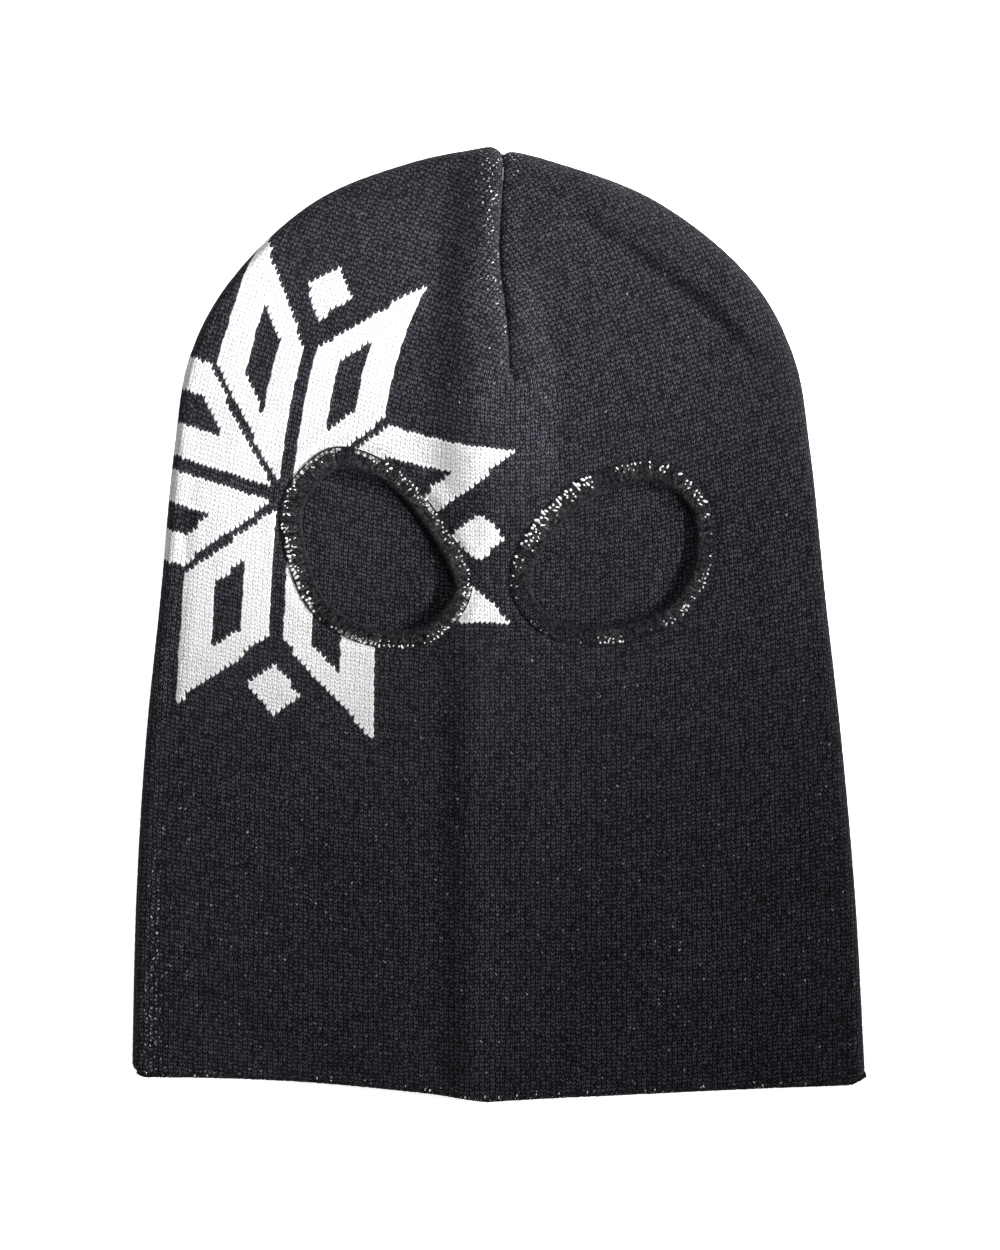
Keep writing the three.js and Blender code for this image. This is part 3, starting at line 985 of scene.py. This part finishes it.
def glint_spots(g, column, row, from_middle, up):
    """Round spots of backing yarn in the stitches that the glint attribute picks, 0 to 1."""
    glint = g.attribute("glint")
    lit = g.random(column, row, 7.0) < glint
    away = from_middle - (g.random(column, row, 9.0) - 0.5) * 0.5
    above = up - 0.5 - (g.random(column, row, 11.0) - 0.5) * 0.5
    size = g.random(column, row, 13.0) * 0.04 + 0.015
    bright = (g.random(column, row, 15.0) * 0.75 + glint * 0.75) ** 2.0
    return lit * (away * away * 1.3 + above * above < size) * (bright * 0.9 + 0.04)


def knit_material(name, star_centre=None):
    """Plain jacquard knit, stitch by stitch, with the star where a centre is given."""
    g = Graph(name, 0.9, 0.02)
    place = g.attribute("stitch", "Vector")
    u, v, _ = g.parts(place)
    wobble = g.parts(g.noise(place, 0.45, 2.0, "Color"))
    u = u + (wobble[0] - 0.5) * STRAY
    v = v + (wobble[1] - 0.5) * STRAY
    # Each stitch is a V: its two legs rise away from the middle of its column.
    column = u.floor()
    from_middle = u - column - 0.5
    side = abs(from_middle) * 2.0
    slanted = v - side * 0.55 + g.random(column, 0.0, 21.0) * 0.4
    row = slanted.floor()
    up = slanted - row
    chance = g.random(column, row)
    leg_chance = g.random(column + (from_middle > 0.0) * 0.5, row, 5.0)
    leg = side.ramp(1.0, 0.5, 0.15, 1.0) * side.ramp(0.0, 0.3, 0.5, 1.0)
    course = abs(up * 2.0 - 1.0).ramp(1.0, 0.2)
    fuzz = g.noise(place, 2.8, 5.0)
    height = (leg * 0.2 + leg * course * 0.8) * (leg_chance * 0.8 + 0.5) + (fuzz - 0.5) * 1.9
    # Painted shade: the black yarn is darkened in the gaps between stitches and lightened on their
    # tops; it also varies by stitch and slowly over the cloth.
    slow = g.noise(place, 0.035, 3.0)
    shade = height.ramp(-0.05, 1.1) ** 1.5 * 4.0 + 0.06
    shade = shade * (chance * 0.3 + 0.85) * (slow * 0.5 + 0.75)
    # Painted highlight, partly real: the crown fold's right flank, which faces the lights, is made
    # lighter where its knit is pulled open.
    shade = shade * (g.attribute("stretch_and_painted_highlight") * 0.2 + 1.0)
    black = g.shaded(BLACK_YARN, shade)
    if star_centre is None:
        return g.finish(black, height, KNIT_RELIEF)
    mask = star_mask(g, column, row, star_centre) * (g.attribute("hidden") < chance * 0.5 + 0.25)
    # White yarn shows the black behind it in some of the holes; painted shade darkens it in the gaps
    # between stitches and lightens their tops.
    hole = (1.0 - course) * (1.0 - leg)
    speck = hole.ramp(0.3, 0.7) * g.random(column, row, 3.0).ramp(0.2, 0.8)
    white = g.shaded(WHITE_YARN, (1.0 - speck * 0.6) * height.ramp(0.0, 0.7, 0.72, 1.05))
    dark = g.mix_colour(glint_spots(g, column, row, from_middle, up), black, GLINT_YARN)
    return g.finish(g.mix_colour(mask, dark, white), height, KNIT_RELIEF)


def yarn_material(name, colour, variation):
    """Loose black or white yarn with a fibrous surface."""
    g = Graph(name, 0.95, 0.01)
    where = g.field("ShaderNodeNewGeometry", output="Position")
    fibre = g.noise(where, 2600.0, 3.0)
    patch = g.noise(where, 950.0, 3.0)
    shade = fibre.ramp(0.25, 0.75, 1 - variation, 1 + variation)
    shade = shade * patch.ramp(0.3, 0.7, 1 - variation, 1 + 2 * variation)
    return g.finish(g.shaded(colour, shade), fibre, YARN_RELIEF)


def floor_material():
    """A pale floor that glows a little, as if lit from below."""
    material, bsdf = principled("backlit floor", 0.9, 0.1)
    bsdf.inputs["Base Color"].default_value = (0.9, 0.9, 0.9, 1)
    bsdf.inputs["Emission Color"].default_value = (1, 1, 1, 1)
    bsdf.inputs["Emission Strength"].default_value = 0.8
    return material


# ---- build ----
LEFT_SIDE_POINTS = 200  # from the outline's left corner to the shoulder
left_line = UNROLLED[:LEFT_SIDE_POINTS]
seam_x = np.interp(STAR_CENTRE[0, 1], left_line[:, 1], left_line[:, 0])
BACK_STAR_CENTRE = np.array([[2 * seam_x - STAR_CENTRE[0, 0], STAR_CENTRE[0, 1]]])

knit_front = knit_material("knit with star, front", STAR_CENTRE)
knit_back = knit_material("knit with star, back", BACK_STAR_CENTRE)
knit_plain = knit_material("black knit")
black_yarn = yarn_material("black yarn", (0.0080, 0.0078, 0.0092, 1), 0.9)
grey_fibre = yarn_material("mixed fibres", (0.028, 0.028, 0.027, 1), 0.8)
seam_yarn = yarn_material("seam thread", (0.024, 0.023, 0.027, 1), 0.5)
white_yarn = yarn_material("white yarn", (0.62, 0.62, 0.61, 1), 0.25)

FRONT_STEP, FINE_STEP, BACK_STEP = ((1.8, 0.9, 2.6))
front = panel("front_cloth", "front", FRONT_STEP, FINE_STEP, [knit_front, knit_plain])
back = panel("back_cloth", "back", BACK_STEP, BACK_STEP / 1.5, [knit_back, knit_plain])

# Bearing, spread, chance per stitch and size of the white yarn caught in each band.
RIGHT_PATCHES = [(128, 24, 1.0, 1.1), (165, 20, 1.0, 1.1), (82, 18, 0.9, 0.65), (42, 16, 0.95, 0.9),
                 (0, 10, 0.3, 0.5), (-22, 12, 0.95, 0.75), (-46, 12, 0.9, 0.8), (-92, 9, 0.9, 0.85),
                 (-138, 18, 0.6, 0.45), (-172, 8, 0.8, 0.7)]
LEFT_PATCHES = [(24, 26, 1.0, 0.75), (62, 20, 1.0, 0.85), (140, 26, 1.0, 0.65), (184, 16, 1.0, 1.0),
                (-148, 16, 1.0, 0.95), (-115, 16, 0.7, 0.55), (-78, 24, 1.0, 0.7), (-40, 18, 1.0, 0.8),
                (-8, 16, 0.9, 0.6)]
edging_yarns = [black_yarn, white_yarn, grey_fibre]
left_edging = eye_edging("left_eye_overlock", "left", LEFT_PATCHES, 11)
right_edging = eye_edging("right_eye_overlock", "right", RIGHT_PATCHES, 12)
front_neck = neck_edging("front_neck_loops", "front", 31)
back_neck = neck_edging("back_neck_loops", "back", 32)

BEAD_INSET = 3.9
SIDE_BEAD = 1.75  # radius of the seam allowance in the side fold
DART_BEAD = 0.95


def side_bead(name, outline, low, high, seed):
    """The seam allowance inside the side fold, between two heights."""
    outward = normals_left(outline)
    inner = outline - outward * BEAD_INSET
    chosen = (outline[:, 1] >= low) & (outline[:, 1] <= high)
    line = np.column_stack([inner[chosen], np.full(chosen.sum(), SEAM_HEIGHT)])
    across = np.column_stack([outward[chosen], np.zeros(chosen.sum())])
    return seam_bead(name, line, across, seed, SIDE_BEAD)


left_half = OUTLINE[:len(LEFT_SIDE)]
right_half = OUTLINE[len(LEFT_SIDE) - 1:]
BEAD_START = 2  # above the lower corners
SPLIT_Y = 75.0  # where the side seams end and the crown seams start
TOP_Y = 165.0
left_foot, right_foot = CORNER_Y["left"] + BEAD_START, CORNER_Y["right"] + BEAD_START
left_side_seam = side_bead("left_side_bead", left_half, left_foot, SPLIT_Y, 41)
left_crown_seam = side_bead("left_crown_bead", left_half, SPLIT_Y + 1, TOP_Y, 42)
right_side_seam = side_bead("right_side_bead", right_half, right_foot, SPLIT_Y - 1, 43)
right_crown_seam = side_bead("right_crown_bead", right_half, SPLIT_Y, TOP_Y, 44)

DART_BEAD_TOP = 158.0
INTO_FRONT = 0.2  # how far the bead's middle is let into the front
ABOVE_BACK = 0.7
TACK_THREAD = 0.3
TACK_MARGIN = 0.4


def dart_bead(name, face, seed):
    """The dart's seam allowance on the inside of one panel."""
    ys = np.arange(DART_FOOT[1] + 1, DART_BEAD_TOP, 1.0)
    xs, _ = dart_seam(ys)
    plan = np.column_stack([xs, ys])
    high = front_height(plan) - FABRIC + INTO_FRONT
    low = np.full(len(plan), FABRIC + ABOVE_BACK)
    line = np.column_stack([plan, high if face == "front" else low])
    across = np.tile([1.0, 0.0, 0.0], (len(line), 1))
    return seam_bead(name, line, across, seed, DART_BEAD)


front_dart = dart_bead("front_dart_bead", "front", 51)
back_dart = dart_bead("back_dart_bead", "back", 52)


def tack(name):
    """The crossed threads that close the crown where all the seams meet."""
    low, high = (np.array(corner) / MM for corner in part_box("crown_tack"))
    strands = Strands()
    middle, half = (low + high) / 2, (high - low) / 2 - TACK_MARGIN
    turns, threads = 7, 3
    t = np.linspace(0, 1, 220)
    for k in range(threads):
        turn = 2 * math.pi * (turns * t + k / threads)
        path = middle + np.column_stack([(2 * t - 1) * half[0], 0.75 * half[1] * np.cos(turn),
                                         half[2] * np.sin(turn)])
        strands.add(path, TACK_THREAD)
    return strands.build(name, [seam_yarn])


crown_tack = tack("crown_tack_threads")

CLOTH, SEAM, EDGING = "jacquard_knit", "seam_thread", "edging_yarn"
STANDS_FOR = [
    (front, "front_panel", CLOTH), (back, "back_panel", CLOTH),
    (left_edging, "left_eye_edging", EDGING), (right_edging, "right_eye_edging", EDGING),
    (front_neck, "front_neck_edging", EDGING), (back_neck, "back_neck_edging", EDGING),
    (left_side_seam, "left_side_seam", SEAM), (right_side_seam, "right_side_seam", SEAM),
    (left_crown_seam, "left_crown_seam", SEAM), (right_crown_seam, "right_crown_seam", SEAM),
    (front_dart, "front_dart_seam", SEAM), (back_dart, "back_dart_seam", SEAM),
    (crown_tack, "crown_tack", SEAM),
]
for piece, node, finish_slot in STANDS_FOR:
    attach(piece, "root")
    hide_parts(node)

# ---- floor, light and camera ----
FLOOR_SIZE = 6.0
bpy.ops.mesh.primitive_plane_add(size=FLOOR_SIZE)
floor = bpy.context.object
floor.name = "floor"
floor.data.materials.append(floor_material())

FLAT = (2 * UNROLLED[:, 0].max() * MM, (UNROLLED[:, 1].max() - LOWEST_Y) * MM)


def area_light(name, place, aim, size, watts, spread):
    """A soft disc of light; spread, in degrees, is how widely it opens."""
    lamp = bpy.data.lights.new(name, "AREA")
    lamp.shape = "DISK"
    lamp.size = size
    lamp.energy = watts
    lamp.spread = math.radians(spread)
    obj = bpy.data.objects.new(name, lamp)
    obj.location = place
    way = np.array(aim) - np.array(place)
    yaw = math.atan2(way[1], way[0])
    pitch = math.atan2(math.hypot(way[0], way[1]), -way[2])
    obj.rotation_euler = (pitch, 0, yaw - math.pi / 2)
    bpy.context.scene.collection.objects.link(obj)


# Name, place and aim in metres, diameter in metres, watts, spread in degrees.
LIGHTS = [
    ("upper key", (1.2, 0.3, 0.68), (-0.1, 0.12, 0), 0.1, 0.42, 16),
    ("lower key", (1.08, -0.57, 0.78), (-0.08, 0.15, 0), 0.1, 0.38, 15),
    ("low beam", (1.22, -0.1, 0.57), (-0.2, -0.12, 0), 0.15, 0.17, 13),
    ("side light", (1.15, 0.4, 0.55), (0, 0, 0), 0.34, 7.5, 170),
    ("crown light", (0, 0.6, 0.45), (0, 0.15, 0), 0.25, 0.85, 90),
    ("left fill", (-0.36, -0.12, 0.16), (-0.12, -0.12, 0), 0.2, 0.1, 100),
]
for light in LIGHTS:
    area_light(*light)

world = bpy.data.worlds.new("studio")
world.use_nodes = True
background = next(n for n in world.node_tree.nodes if n.type == "BACKGROUND")
background.inputs["Color"].default_value = (1, 1, 1, 1)
background.inputs["Strength"].default_value = 0.2
bpy.context.scene.world = world

FIELD_HEIGHT = 0.4425  # metres of the object's plane in view
CAMERA_AT = (0.0005, -0.0002, 1.2)
OBJECT_PLANE = 0.008
SENSOR = 24.0
camera_data = bpy.data.cameras.new("camera")
camera_data.sensor_fit = "VERTICAL"
camera_data.sensor_height = SENSOR
camera_data.lens = SENSOR * (CAMERA_AT[2] - OBJECT_PLANE) / FIELD_HEIGHT
camera = bpy.data.objects.new("camera", camera_data)
camera.location = CAMERA_AT
bpy.context.scene.collection.objects.link(camera)
bpy.context.scene.camera = camera

bpy.context.scene.view_settings.view_transform = "Standard"
